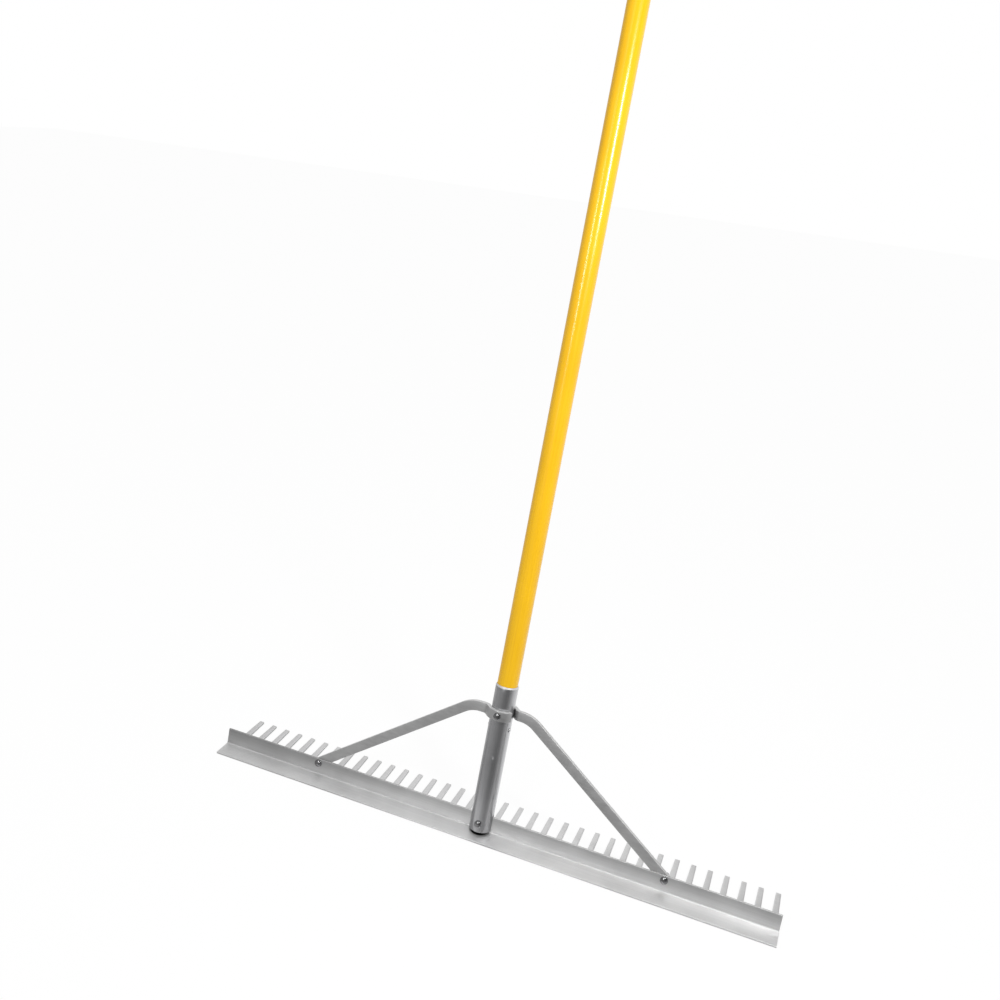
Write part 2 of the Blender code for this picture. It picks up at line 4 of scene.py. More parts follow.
import bmesh
import bpy
import numpy as np
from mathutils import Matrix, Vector

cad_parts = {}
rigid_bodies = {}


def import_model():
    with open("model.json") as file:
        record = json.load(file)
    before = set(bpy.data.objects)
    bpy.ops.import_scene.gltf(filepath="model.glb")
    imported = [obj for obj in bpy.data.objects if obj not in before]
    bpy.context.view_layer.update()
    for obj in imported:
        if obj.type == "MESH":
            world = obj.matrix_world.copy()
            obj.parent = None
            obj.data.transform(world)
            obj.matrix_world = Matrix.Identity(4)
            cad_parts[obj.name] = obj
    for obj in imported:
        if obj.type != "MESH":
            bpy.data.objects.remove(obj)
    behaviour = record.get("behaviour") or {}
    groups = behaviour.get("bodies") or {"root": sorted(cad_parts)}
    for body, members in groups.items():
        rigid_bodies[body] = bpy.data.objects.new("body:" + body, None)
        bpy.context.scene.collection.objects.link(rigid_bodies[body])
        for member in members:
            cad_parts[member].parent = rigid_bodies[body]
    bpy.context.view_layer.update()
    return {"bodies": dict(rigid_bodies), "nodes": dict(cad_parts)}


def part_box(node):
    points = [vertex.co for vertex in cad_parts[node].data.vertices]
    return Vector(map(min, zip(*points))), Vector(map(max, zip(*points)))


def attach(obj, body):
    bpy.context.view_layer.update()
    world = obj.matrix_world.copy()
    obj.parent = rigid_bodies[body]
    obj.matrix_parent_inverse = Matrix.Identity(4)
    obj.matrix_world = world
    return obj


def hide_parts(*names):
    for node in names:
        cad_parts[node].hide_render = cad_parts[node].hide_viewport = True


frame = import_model()
body = next(iter(frame["bodies"]))
MM = 0.001

# The rake head
# One aluminium extrusion of T section, sawn to length. A press punches the gaps out of its rear half
# and leaves 36 flat tapered teeth, in one plane with the smooth blade in front.
head_low, head_high = (Vector(corner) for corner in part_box("rake_head"))
plate_thickness = 3.2 * MM
flange_height = 25.0 * MM
flange_thickness = 3.2 * MM
lean = math.radians(12.5)
crease_radius = 2.5 * MM
back_radius = 2.5 * MM
edge_radius = 0.7 * MM
rim_radius = 0.4 * MM
tooth_pitch = 25.4 * MM
tooth_count = 36
tooth_row_middle = 2.9 * MM
tooth_root_width = 10.7 * MM
tooth_tip_width = 7.8 * MM
root_shelf = 4.2 * MM
root_line = flange_thickness / math.cos(lean) + root_shelf
root_corner = 1.8 * MM
tip_corner = 1.0 * MM
weld_distance = 0.002 * MM
# Painted shade on the head: the flange darker in the crease, towards its top and towards its left end,
# and a painted shadow on the blade inside the socket's foot. The crease's roughness ramp is not
# painted.
shade_top = 30.0 * MM
painted_flange_shades = ((3.21, 1.0), (4.05, 0.78), (5.7, 0.96), (9.0, 1.02), (24.0, 0.76))
crease_roughness = ((3.21, 1.0), (3.36, 1.15), (4.5, 1.15), (6.0, 1.0))
flange_starts = (3.2 * MM, 5.0 * MM)
left_shade = 0.66
left_shade_reach = (-0.52, -0.02)
foot_shadow = 0.05
foot_shadow_edge = (13.5 * MM, 15.5 * MM)
grain_depth = 0.1 * MM


def arc(centre, radius, start, end, count):
    """Points at centre + radius (cos a, sin a), with a running evenly from start to end in degrees."""
    angle = np.radians(np.linspace(start, end, count))
    return np.stack([centre[0] + radius * np.cos(angle), centre[1] + radius * np.sin(angle)], axis=1)


def round_corner(before, corner, after, radius, count):
    """An arc that touches both sides of a corner. Its centre is radius / sin(half the corner's angle)
    along the bisector, and its points turn evenly from one side's foot to the other's."""
    before, corner, after = (np.asarray(point, float) for point in (before, corner, after))
    back = (before - corner) / np.linalg.norm(before - corner)
    ahead = (after - corner) / np.linalg.norm(after - corner)
    half = math.acos(np.clip(back @ ahead, -1, 1)) / 2
    middle = (back + ahead) / np.linalg.norm(back + ahead)
    centre = corner + middle * radius / math.sin(half)
    start = corner + back * radius / math.tan(half) - centre
    end = corner + ahead * radius / math.tan(half) - centre
    turn = math.pi - 2 * half
    share = np.linspace(0, 1, count)[:, None]
    return centre + (start * np.sin((1 - share) * turn) + end * np.sin(share * turn)) / math.sin(turn)


def grid_faces(rows, columns, wrap_rows=False, wrap_columns=False):
    """Quads between neighbours of a grid whose point (i, j) has the number i * columns + j."""
    i = np.arange(rows if wrap_rows else rows - 1)[:, None]
    j = np.arange(columns if wrap_columns else columns - 1)[None, :]
    i_next, j_next = (i + 1) % rows, (j + 1) % columns
    corners = [i * columns + j, i * columns + j_next, i_next * columns + j_next, i_next * columns + j]
    return np.stack([np.broadcast_to(corner, (i.size, j.size)) for corner in corners], axis=-1)


class Piece:
    """Gathers grids and flat caps into one mesh, in metres, and welds them into one closed skin."""

    def __init__(self, name):
        self.name, self.points, self.faces, self.total = name, [], [], 0

    def grid(self, points, wrap_rows=False, wrap_columns=False, keep=None):
        """A sheet of quads over a grid of points, with only the cells that keep marks."""
        rows, columns = points.shape[:2]
        quads = grid_faces(rows, columns, wrap_rows, wrap_columns)
        quads = quads.reshape(-1, 4) if keep is None else quads[keep]
        self.faces += (quads + self.total).tolist()
        self.points.append(points.reshape(-1, 3))
        self.total += rows * columns

    def cap(self, ring):
        """One flat face with the ring's points as its corners."""
        self.faces.append(list(range(self.total, self.total + len(ring))))
        self.points.append(ring)
        self.total += len(ring)

    def make(self, material, node, slot, smooth_angle=35, place=None):
        """The object. Points closer than the weld distance become one, and edges sharper than the
        smooth angle stay sharp."""
        points = np.concatenate(self.points)
        if place is not None:
            points = place(points)
        mesh = bpy.data.meshes.new(self.name)
        mesh.from_pydata(points.tolist(), [], self.faces)
        work = bmesh.new()
        work.from_mesh(mesh)
        bmesh.ops.remove_doubles(work, verts=work.verts, dist=weld_distance)
        bmesh.ops.recalc_face_normals(work, faces=work.faces)
        work.to_mesh(mesh)
        work.free()
        mesh.shade_smooth()
        mesh.set_sharp_from_angle(angle=math.radians(smooth_angle))
        mesh.materials.append(material)
        piece = bpy.data.objects.new(self.name, mesh)
        bpy.context.scene.collection.objects.link(piece)
        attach(piece, body)
        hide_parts(node)


def head_section():
    """The T section in y and z, from the root line's top edge round over flange and blade to its
    bottom edge. Corners are arcs that touch both of their sides."""
    up = np.array([math.sin(lean), math.cos(lean)])
    back = np.array([math.cos(lean), -math.sin(lean)])
    blade_edge, top = head_low.y, plate_thickness
    crease = np.array([0.0, top])
    front_top = crease + up * flange_height
    back_top = front_top + back * flange_thickness
    back_foot = np.array([flange_thickness / math.cos(lean), top])
    start = np.array([root_line - rim_radius, top])
    blade_top, blade_foot = np.array([blade_edge, top]), np.array([blade_edge, 0.0])
    end = np.array([root_line - rim_radius, 0.0])
    return np.concatenate([
        [start],
        round_corner(start, back_foot, back_top, back_radius, 7),
        round_corner(back_foot, back_top, front_top, edge_radius, 5),
        round_corner(back_top, front_top, crease, edge_radius, 5),
        round_corner(front_top, crease, blade_top, crease_radius, 14),
        round_corner(crease, blade_top, blade_foot, edge_radius, 5),
        round_corner(blade_top, blade_foot, end, edge_radius, 5),
        [end],
    ])


def tooth_sides():
    """Half widths and distances from the root line of one tooth's edge, from the gap's corner arc
    along the straight taper to the tip's corner arc, with the edge's outward normals."""
    reach = head_high.y - root_line
    half_root, half_tip = tooth_root_width / 2, tooth_tip_width / 2
    corner = arc((half_root + root_corner, root_corner), root_corner, 270, 180, 7)
    taper = np.linspace(root_corner, reach - tip_corner, 9)[1:-1]
    width = half_root + (half_tip - half_root) * (taper - root_corner) / (reach - root_corner)
    tip = arc((half_tip - tip_corner, reach - tip_corner), tip_corner, 0, 90, 6)
    edge = np.concatenate([corner, np.stack([width, taper], axis=1), tip])
    step = np.gradient(edge, axis=0)
    step /= np.linalg.norm(step, axis=1)[:, None]
    normal = np.stack([step[:, 1], -step[:, 0]], axis=1)
    normal[0], normal[-1] = (0, 1), (0, 1)
    return edge, normal


def make_head():
    """Rows run along the head. The T section is swept over every column, a rounded rim is carried
    along the comb's edge, and each tooth's two faces are grids between the rim's sides."""
    head = Piece("dressed_rake_head")
    columns = 5
    edge, normal = tooth_sides()
    first_tooth = tooth_row_middle - (tooth_count - 1) / 2 * tooth_pitch
    quarter = np.radians(np.linspace(0, 90, 4))
    depth = rim_radius * (1 - np.sin(quarter))
    rise = rim_radius * (1 - np.cos(quarter))
    rim_in = np.concatenate([depth, depth[::-1]])
    rim_z = np.concatenate([plate_thickness - rise, rise[::-1]])
    share = np.linspace(0, 1, columns)[None, :, None]
    path, outward, root_xs = [], [], []
    for tooth in range(tooth_count):
        middle = first_tooth + tooth * tooth_pitch
        left = np.stack([middle - edge[:, 0], root_line + edge[:, 1]], axis=1)
        right = np.stack([middle + edge[:, 0], root_line + edge[:, 1]], axis=1)[::-1]
        tip_xs = np.linspace(left[-1, 0], right[0, 0], columns)[1:-1]
        tip = np.stack([tip_xs, np.full(columns - 2, head_high.y)], axis=1)
        path += [left, tip, right]
        outward += [normal * (-1, 1), np.tile((0.0, 1.0), (columns - 2, 1)), normal[::-1]]
        root_xs.append(np.linspace(left[0, 0], right[-1, 0], columns))
        left_in = left - normal * (-1, 1) * rim_radius
        right_in = right[::-1] - normal * rim_radius
        face = left_in[:, None, :] * (1 - share) + right_in[:, None, :] * share
        for z in (plate_thickness, 0.0):
            head.grid(np.concatenate([face, np.full(face.shape[:2] + (1,), z)], axis=2))
    ends = np.array([[head_low.x, root_line]]), np.array([[head_high.x, root_line]])
    flat = np.array([[0.0, 1.0]])
    path = np.concatenate([ends[0], *path, ends[1]])
    outward = np.concatenate([flat, *outward, flat])
    rim = path[:, None, :] - outward[:, None, :] * rim_in[None, :, None]
    rim = np.concatenate([rim, np.broadcast_to(rim_z[None, :, None], rim.shape[:2] + (1,))], axis=2)
    head.grid(rim)
    xs = np.concatenate([[head_low.x], *root_xs, [head_high.x]])
    section = head_section()
    body_grid = np.empty((len(xs), len(section), 3))
    body_grid[:, :, 0] = xs[:, None]
    body_grid[:, :, 1:] = section[None, :, :]
    head.grid(body_grid)
    for end in (0, -1):
        head.cap(np.concatenate([body_grid[end], rim[end][::-1][1:-1]]))
    return head


def fill(node, *values, **named):
    """Fills a shader node's inputs, in order or by name with _ for a space, each with a value or with
    another node's output."""
    sockets = [node.inputs[name.replace("_", " ")] for name in named]
    for socket, value in [*zip(node.inputs, values), *zip(sockets, named.values())]:
        if isinstance(value, bpy.types.NodeSocket):
            node.id_data.links.new(value, socket)
        else:
            socket.default_value = value
    return node


def add_node(tree, kind, *values, operation=None, **named):
    """Adds a node to a shader tree, with its operation and its inputs."""
    node = tree.nodes.new("ShaderNode" + kind)
    if operation is not None:
        node.operation = operation
    return fill(node, *values, **named)


def new_material(name):
    """A material with its tree, its shader and the place in metres that its textures are laid on."""
    material = bpy.data.materials.new(name)
    material.use_nodes = True
    tree = material.node_tree
    place = add_node(tree, "TexCoord").outputs["Object"]
    return material, tree, tree.nodes["Principled BSDF"], place


def maths(tree, operation, *values):
    """The result of a maths node."""
    return add_node(tree, "Math", *values, operation=operation).outputs["Value"]


def measure(tree, operation, *vectors):
    """The number that a vector maths node gives."""
    return add_node(tree, "VectorMath", *vectors, operation=operation).outputs["Value"]


def mapped(tree, place, **changes):
    """The place after a turn or a stretch."""
    return add_node(tree, "Mapping", Vector=place, **changes).outputs["Vector"]


def noise(tree, place, scale, detail, roughness=0.5):
    """Fractal noise between 0 and 1."""
    node = add_node(tree, "TexNoise", Vector=place, Scale=scale, Detail=detail, Roughness=roughness)
    return node.outputs["Fac"]


def mixed(tree, share, first, second, data_type="FLOAT"):
    """Runs from the first of two values or colours to the second as the share goes from 0 to 1."""
    node = tree.nodes.new("ShaderNodeMix")
    node.data_type = data_type
    return fill(node, Factor=share, A=first, B=second).outputs["Result"]


def ramp(tree, value, stops):
    """A colour that runs straight between stops, each a position with a colour or a level of grey."""
    node = add_node(tree, "ValToRGB", Fac=value)
    elements = node.color_ramp.elements
    while len(elements) < len(stops):
        elements.new(0.5)
    for element, (position, colour) in zip(elements, stops):
        element.position = position
        element.color = (*np.broadcast_to(colour, 3).tolist(), 1)
    return node.outputs["Color"]


def change(tree, value, low, high, at_low, at_high, curve="LINEAR"):
    """A level that goes from one to another as a value goes from low to high."""
    node = add_node(tree, "MapRange", Value=value, From_Min=low, From_Max=high)
    fill(node, To_Min=at_low, To_Max=at_high)
    node.interpolation_type = curve
    return node.outputs["Result"]


def soft_step(tree, value, low, high, at_low, at_high):
    """The same with soft ends, by a cubic."""
    return change(tree, value, low, high, at_low, at_high, curve="SMOOTHSTEP")


def relief(tree, height, strength, depth):
    """The normal of a surface that stands out by the depth where the height is 1."""
    return add_node(tree, "Bump", Height=height, Strength=strength, Distance=depth).outputs["Normal"]


def streaked_metal(name, colour, roughness, streak_scale, turn=0.0, haze=0.0, bumps=0.06):
    """Bare aluminium. Noise stretched along the piece gives the die's or the draw's fine lines, and a
    coarser noise gives patches that are a little duller or brighter. Haze is the share of light that
    its oxide scatters evenly."""
    material, tree, shader, place = new_material(name)
    along = mapped(tree, mapped(tree, place, Rotation=(turn, 0.0, 0.0)), Scale=streak_scale)
    lines = noise(tree, along, 1.0, 4.0, 0.6)
    patches = noise(tree, place, 22.0, 5.0)
    specks = noise(tree, place, 420.0, 2.0)
    blend = mixed(tree, 0.45, lines, patches)
    dark, light = ([factor * level for level in colour] for factor in (0.86, 1.08))
    tint = ramp(tree, blend, [(0.3, dark), (0.7, light)])
    dull = change(tree, blend, 0.3, 0.7, roughness - 0.05, roughness + 0.07)
    height = maths(tree, "MULTIPLY_ADD", specks, 0.5, lines)
    normal = relief(tree, height, bumps, grain_depth)
    fill(shader, Metallic=1.0 - haze, Base_Color=tint, Roughness=dull, Normal=normal)
    return material


def scale_colour(tree, factor):
    """Multiplies the shader's colour by a factor."""
    shader = tree.nodes["Principled BSDF"]
    colour = shader.inputs["Base Color"].links[0].from_socket
    scaled = add_node(tree, "VectorMath", colour, operation="SCALE", Scale=factor)
    fill(shader, Base_Color=scaled.outputs["Vector"])


def scale_roughness(tree, factor):
    """Multiplies the shader's roughness by a factor."""
    shader = tree.nodes["Principled BSDF"]
    roughness = shader.inputs["Roughness"].links[0].from_socket
    fill(shader, Roughness=maths(tree, "MULTIPLY", roughness, factor))


def shade_head(material):
    """The flange has painted shade: it is darker in the crease, towards its top and towards its left
    end, by ramps in height and along the head, and the crease is rougher. Inside the socket's foot the
    blade is painted dark as a shadow, by its distance from the axis."""
    tree = material.node_tree
    place = tree.nodes["Texture Coordinate"].outputs["Object"]
    axes = add_node(tree, "SeparateXYZ", Vector=place).outputs
    rise = maths(tree, "DIVIDE", axes["Z"], shade_top)
    flange_painted_shade, crease = (
        ramp(tree, rise, [(height * MM / shade_top, level) for height, level in levels])
        for levels in (painted_flange_shades, crease_roughness)
    )
    level_place = add_node(tree, "VectorMath", place, (1.0, 1.0, 0.0), operation="MULTIPLY")
    reach = measure(tree, "LENGTH", level_place.outputs["Vector"])
    inside = soft_step(tree, reach, *foot_shadow_edge, foot_shadow, 1.0)
    left = soft_step(tree, axes["X"], *left_shade_reach, left_shade, 1.0)
    on_flange = soft_step(tree, axes["Z"], *flange_starts, 0.0, 1.0)
    # Painted shade on the flange and painted shadow inside the socket's foot, multiplied into the
    # colour.
    shade = maths(tree, "MULTIPLY", flange_painted_shade, inside)
    scale_colour(tree, maths(tree, "MULTIPLY", shade, mixed(tree, on_flange, 1.0, left)))
    scale_roughness(tree, crease)


extruded = streaked_metal(
    "extruded_aluminium", (0.76, 0.76, 0.76), 0.47, (3.0, 900.0, 900.0), haze=0.05
)
shade_head(extruded)
make_head().make(extruded, "rake_head", "aluminium_extrusion", smooth_angle=28)

# The socket
# A drawn aluminium tube that holds the handle. Its foot is sawn open on both sides and pushed down
# over the flange, where a bolt goes through all three, and its top is rolled in onto the handle.
fit_gap = 0.3 * MM
tube_bore = 16.175 * MM
tube_radius = 17.475 * MM
tube_axis_y = flange_thickness / 2
tube_foot = 1.7 * MM
tube_foot_edge = (0.3 * MM, 0.4 * MM)
tube_top = tube_foot + 235.0 * MM
tooth_clearance = 2.3 * MM
tube_back_foot = (tube_axis_y + tube_radius) * math.tan(lean) + tooth_clearance
tube_rim_rise = 2.6 * MM
tube_rim_depth = 1.15 * MM
tube_haze = 0.06
rim_edge = 0.3 * MM
slot_half = flange_thickness / 2 + fit_gap
slot_top = flange_height + 4.0 * MM
slot_cells = 4
wall_cells = 44
dent_height = 124.2 * MM
dent_angle = math.radians(270 + 9)
dent_radius = 3.0 * MM
dent_depth = 0.8 * MM


def from_handle_axes(points):
    """Handle axes to world: a turn about X by the lean, then up by the plate's thickness."""
    points = np.asarray(points)
    y = points[:, 1] * math.cos(lean) + points[:, 2] * math.sin(lean)
    z = points[:, 2] * math.cos(lean) - points[:, 1] * math.sin(lean) + plate_thickness
    return np.stack([points[:, 0], y, z], axis=1)


def round_stations(radius):
    """Angles round the tube, counted from +x. Each edge of the two slots has one, where the sine times
    the radius is half the slot's width."""
    edge = math.asin(slot_half / radius)
    spans = (
        (-edge, edge, slot_cells),
        (edge, math.pi - edge, wall_cells),
        (math.pi - edge, math.pi + edge, slot_cells),
        (math.pi + edge, 2 * math.pi - edge, wall_cells),
    )
    return np.concatenate([np.linspace(low, high, count + 1)[:-1] for low, high, count in spans])


def make_tube():
    """Outer and inner walls are (height, angle) grids without the cells of the two slots and of the
    shorter back. Flat strips close the rims and the slots' sides. The front has a small round dent,
    a cosine bell in height and arc."""
    tube = Piece("dressed_socket_tube")
    roll = np.linspace(0, 1, 9)
    rim_start = tube_top - tube_rim_rise
    dent_low, dent_high = dent_height - dent_radius, dent_height + dent_radius
    edge_depth, edge_rise = tube_foot_edge
    heights = np.concatenate([
        [tube_foot, tube_foot + edge_rise, tube_back_foot],
        np.linspace(tube_back_foot, slot_top, 4)[1:],
        np.linspace(slot_top, dent_low, 9)[1:-1],
        np.linspace(dent_low, dent_high, 11),
        np.linspace(dent_high, rim_start, 12)[1:-1],
        rim_start + tube_rim_rise * roll,
    ])
    back_row, slot_row = 2, 5
    radii = np.full(len(heights), tube_radius)
    radii[0] -= edge_depth
    radii[-len(roll):] -= tube_rim_depth * roll
    walls = []
    for radius, column in ((tube_radius, radii), (tube_bore, np.full(len(heights), tube_bore))):
        angle = round_stations(radius)
        sweep = np.broadcast_to(column[:, None], (len(heights), len(angle))).copy()
        if radius == tube_radius:
            arc_from_dent = (angle - dent_angle) * tube_radius
            away = np.hypot(heights[:, None] - dent_height, arc_from_dent[None, :]) / dent_radius
            sweep -= dent_depth * (0.5 + 0.5 * np.cos(math.pi * np.clip(away, 0, 1)))
        x = sweep * np.cos(angle)
        y = tube_axis_y + sweep * np.sin(angle)
        z = np.broadcast_to(heights[:, None], x.shape)
        walls.append(np.stack([x, y, z], axis=2))
    outer, inner = walls
    right, back, left, front = np.cumsum([slot_cells, wall_cells, slot_cells, wall_cells])
    keep = np.ones((len(heights) - 1, front), bool)
    keep[:slot_row, :right] = False
    keep[:back_row, right:back] = False
    keep[:slot_row, back:left] = False
    for wall in walls:
        tube.grid(wall, wrap_columns=True, keep=keep)
    for row, columns in (
        (0, np.arange(left, front + 1) % front),
        (back_row, np.arange(right, back + 1)),
        (slot_row, np.arange(0, right + 1)),
        (slot_row, np.arange(back, left + 1)),
    ):
        tube.grid(np.stack([outer[row, columns], inner[row, columns]]))
    for low, column in ((0, 0), (back_row, right), (back_row, back), (0, left)):
        rows = slice(low, slot_row + 1)
        tube.grid(np.stack([outer[rows, column], inner[rows, column]]))
    tube.grid(np.stack([outer[-1], inner[-1]]), wrap_columns=True)
    return tube


def brighten_rim_with_painted_highlight(material):
    """The rolled rim is rubbed bright, partly a painted highlight, and scratched and hazy, by steps in
    the height along the axis.
    """
    tree = material.node_tree
    place = tree.nodes["Texture Coordinate"].outputs["Object"]
    height = measure(tree, "DOT_PRODUCT", place, (0.0, math.sin(lean), math.cos(lean)))
    rim = tube_top - tube_rim_rise + plate_thickness * math.cos(lean)
    edge = rim - rim_edge, rim + rim_edge
    # Painted highlight: the rim's colour is raised.
    scale_colour(tree, soft_step(tree, height, *edge, 1.0, 1.3))
    scale_roughness(tree, soft_step(tree, height, *edge, 1.0, 2.2))
    fill(tree.nodes["Principled BSDF"], Metallic=soft_step(tree, height, *edge, 1.0 - tube_haze, 0.45))


drawn = streaked_metal(
    "drawn_aluminium_tube", (0.48, 0.48, 0.49), 0.22, (700.0, 700.0, 5.0), lean,
    haze=tube_haze, bumps=0.03,
)
brighten_rim_with_painted_highlight(drawn)
make_tube().make(drawn, "socket_tube", "aluminium_tube", place=from_handle_axes)

# The handle
# A hollow glass-fibre tube, pulled through a die with yellow resin. Its skin is smooth and half glossy,
# with the fibres just showing along its length.
handle_low = slot_top + 2.0 * MM
handle_top = handle_low + 1676.4 * MM
handle_radius = 15.875 * MM
handle_bore = handle_radius - 2.5 * MM
handle_rows = 60
handle_sides = 72


def turned(piece, profile, sides, closed=False, bend=None):
    """Carries a profile of (radius, height) round the z axis. Where bend is given, it returns the
    radii again for each height and angle, as for a thread or a hexagon."""
    profile = np.asarray(profile)
    angle = np.linspace(0, 2 * math.pi, sides, endpoint=False)
    radius = np.broadcast_to(profile[:, :1], (len(profile), sides)).copy()
    if bend is not None:
        radius = bend(radius, profile[:, 1:], angle[None, :])
    x, y = radius * np.cos(angle), radius * np.sin(angle)
    z = np.broadcast_to(profile[:, 1:], x.shape)
    piece.grid(np.stack([x, y, z], axis=2), wrap_rows=closed, wrap_columns=True)


def on_handle_line(points):
    """Moves a piece turned about z onto the handle's axis, then to the world."""
    return from_handle_axes(points + np.array([0.0, tube_axis_y, 0.0]))


def make_yellow_resin():
    """Yellow resin with a soft clear skin. Long thin noise gives the fibres, and a slow one gives the
    uneven depth of the colour."""
    material, tree, shader, place = new_material("yellow_glass_fibre")
    fill(shader, Specular_IOR_Level=0.35, Coat_Weight=0.2, Coat_Roughness=0.1)
    along = mapped(tree, place, Rotation=(lean, 0.0, 0.0))
    fibres = noise(tree, mapped(tree, along, Scale=(900.0, 900.0, 9.0)), 1.0, 3.0)
    cloud = noise(tree, along, 9.0, 3.0)
    blend = mixed(tree, 0.5, fibres, cloud)
    tint = ramp(tree, blend, [(0.3, (0.62, 0.33, 0.001)), (0.7, (0.74, 0.43, 0.004))])
    dull = change(tree, cloud, 0.0, 1.0, 0.20, 0.32)
    fill(shader, Base_Color=tint, Roughness=dull, Normal=relief(tree, fibres, 0.08, grain_depth))
    return material


handle = Piece("dressed_handle")
outer_heights = np.linspace(handle_top, handle_low, handle_rows)
outer_line = np.stack([np.full(handle_rows, handle_radius), outer_heights], axis=1)
inner_line = [(handle_bore, handle_low), (handle_bore, handle_top)]
turned(handle, np.concatenate([outer_line, inner_line]), handle_sides, closed=True)
handle.make(make_yellow_resin(), "handle", "yellow_glass_fibre", place=on_handle_line)

# The core plug
# A turned dowel inside the handle's foot, which keeps the hollow handle round where the collar bolt
# squeezes it. Only its lower end can be seen, up the open foot of the socket.


def make_dowel_wood():
    """Pale wood whose rings are a wave across the dowel, bent by noise along the grain."""
    material, tree, shader, place = new_material("plug_wood")
    grain = mapped(tree, place, Rotation=(lean, 0.0, 0.0), Scale=(1.0, 1.0, 0.06))
    wave = add_node(tree, "TexWave", Vector=grain, Scale=160.0, Distortion=5.0, Detail=3.0)
    rings = wave.outputs["Fac"]
    tint = ramp(tree, rings, [(0.0, (0.42, 0.25, 0.11)), (1.0, (0.66, 0.46, 0.26))])
    fill(shader, Roughness=0.72, Base_Color=tint, Normal=relief(tree, rings, 0.3, 2 * grain_depth))
    return material


frame["nodes"]["handle_core_plug"].material_slots[0].material = make_dowel_wood()

# The end cap
# A soft black vinyl cap, pushed into the handle's open top. Its shoulder is rounded, and a shallow
# dished ring is moulded in its top.
cap_seat = handle_top + fit_gap
cap_height = 5.0 * MM
cap_round = 2.5 * MM
cap_spigot = 22.0 * MM
cap_spigot_radius = handle_bore - fit_gap
dish_outer = 10.5 * MM
dish_inner = 8.0 * MM
dish_depth = 1.0 * MM
dish_rows = 9


def make_vinyl():
    """Black vinyl with the fine grain of its mould and a few paler scuffs."""
    material, tree, shader, place = new_material("black_vinyl")
    grain = noise(tree, place, 1800.0, 2.0)
    scuffs = noise(tree, place, 90.0, 6.0)
    tint = ramp(tree, scuffs, [(0.5, (0.016, 0.016, 0.017)), (0.8, 0.07)])
    dull = change(tree, scuffs, 0.0, 1.0, 0.42, 0.68)
    fill(shader, Base_Color=tint, Roughness=dull, Normal=relief(tree, grain, 0.25, grain_depth))
    return material


cap = Piece("dressed_end_cap")
cap_top = cap_seat + cap_height
dish = dish_depth / 2 * (np.cos(np.linspace(0, math.pi, dish_rows)) - 1)
dish_line = np.stack([np.linspace(dish_outer, dish_inner, dish_rows), cap_top + dish], axis=1)[::-1]
cap_profile = np.concatenate([
    [(0.0, cap_top - dish_depth)],
    dish_line,
    arc((handle_radius - cap_round, cap_top - cap_round), cap_round, 90, 0, 10),
    [(handle_radius, cap_seat), (cap_spigot_radius, cap_seat)],
    [(cap_spigot_radius, handle_top - cap_spigot), (0.0, handle_top - cap_spigot)],
])
turned(cap, cap_profile, handle_sides)
cap.make(make_vinyl(), "handle_end_cap", "cap_plastic", place=on_handle_line)

# The braces
# Two flat aluminium bars. Each is bent part way round the socket, leaves it level, turns down on edge
# and ends flat behind the flange. The left one passes in front of the socket, the right one behind.
bar_width = 15.4 * MM
bar_thickness = 6.35 * MM
bar_edge = 0.7 * MM
bar_end_edge = 0.4 * MM
collar_height = 192.7 * MM
wrap_radius = tube_radius + fit_gap + bar_thickness / 2
wrap_end = math.radians(144.5)
wrap_leave = math.radians(37.0)
wrap_rows = 40
brace_setout = 3.3 * MM
bend_radius = 8.0 * MM
turn_radius = 46.0 * MM
level_run = 22.4 * MM
brace_shift = -2.2 * MM
brace_bolt_x = 287.0 * MM
fold_radius = 30.0 * MM
fold_to_bolt = 30.0 * MM
bolt_to_end = 9.5 * MM
brace_bolt_height = 17.7 * MM
tab_y = flange_thickness + fit_gap + bar_thickness / 2
bend_x = (wrap_radius - brace_setout * math.sin(wrap_leave)) / math.cos(wrap_leave)
looks_up = (0.45, 0.85)


def brace_line(side):
    """The bar's middle line in handle axes: an arc round the socket, a straight tangent, a flat bend,
    a level run, a bend on edge, the long slope, and a slight fold into the tab."""
    angle = np.linspace(wrap_end, wrap_leave, wrap_rows)
    wrap = np.stack([
        side * wrap_radius * np.cos(angle),
        tube_axis_y + side * wrap_radius * np.sin(angle),
        np.full(wrap_rows, collar_height),
    ], axis=1)
    turn_x = bend_x + level_run + side * brace_shift
    slope = math.atan2(collar_height - brace_bolt_height, brace_bolt_x - turn_x)
    run, drop = math.cos(slope), math.sin(slope)
    fold_x = brace_bolt_x - fold_to_bolt * run
    end_x = brace_bolt_x + bolt_to_end * run
    bend_y = tube_axis_y + side * brace_setout
    turn_y = bend_y + (tab_y - bend_y) * (turn_x - bend_x) / (fold_x - bend_x)
    bend = np.array([side * bend_x, bend_y, collar_height])
    turn = np.array([side * turn_x, turn_y, collar_height])
    fold = np.array([side * fold_x, tab_y, brace_bolt_height + fold_to_bolt * drop])
    end = np.array([side * end_x, tab_y, brace_bolt_height - bolt_to_end * drop])
    return np.concatenate([
        wrap,
        round_corner(wrap[-1], bend, turn, bend_radius, 12),
        round_corner(bend, turn, fold, turn_radius, 18),
        round_corner(turn, fold, end, fold_radius, 5),
        [end],
    ])


def bar_section():
    """A rectangle of the bar's thickness and width, each corner a quarter arc."""
    half_t, half_w = bar_thickness / 2 - bar_edge, bar_width / 2 - bar_edge
    return np.concatenate([
        arc((half_t, half_w), bar_edge, 0, 90, 5),
        arc((-half_t, half_w), bar_edge, 90, 180, 5),
        arc((-half_t, -half_w), bar_edge, 180, 270, 5),
        arc((half_t, -half_w), bar_edge, 270, 360, 5),
    ])


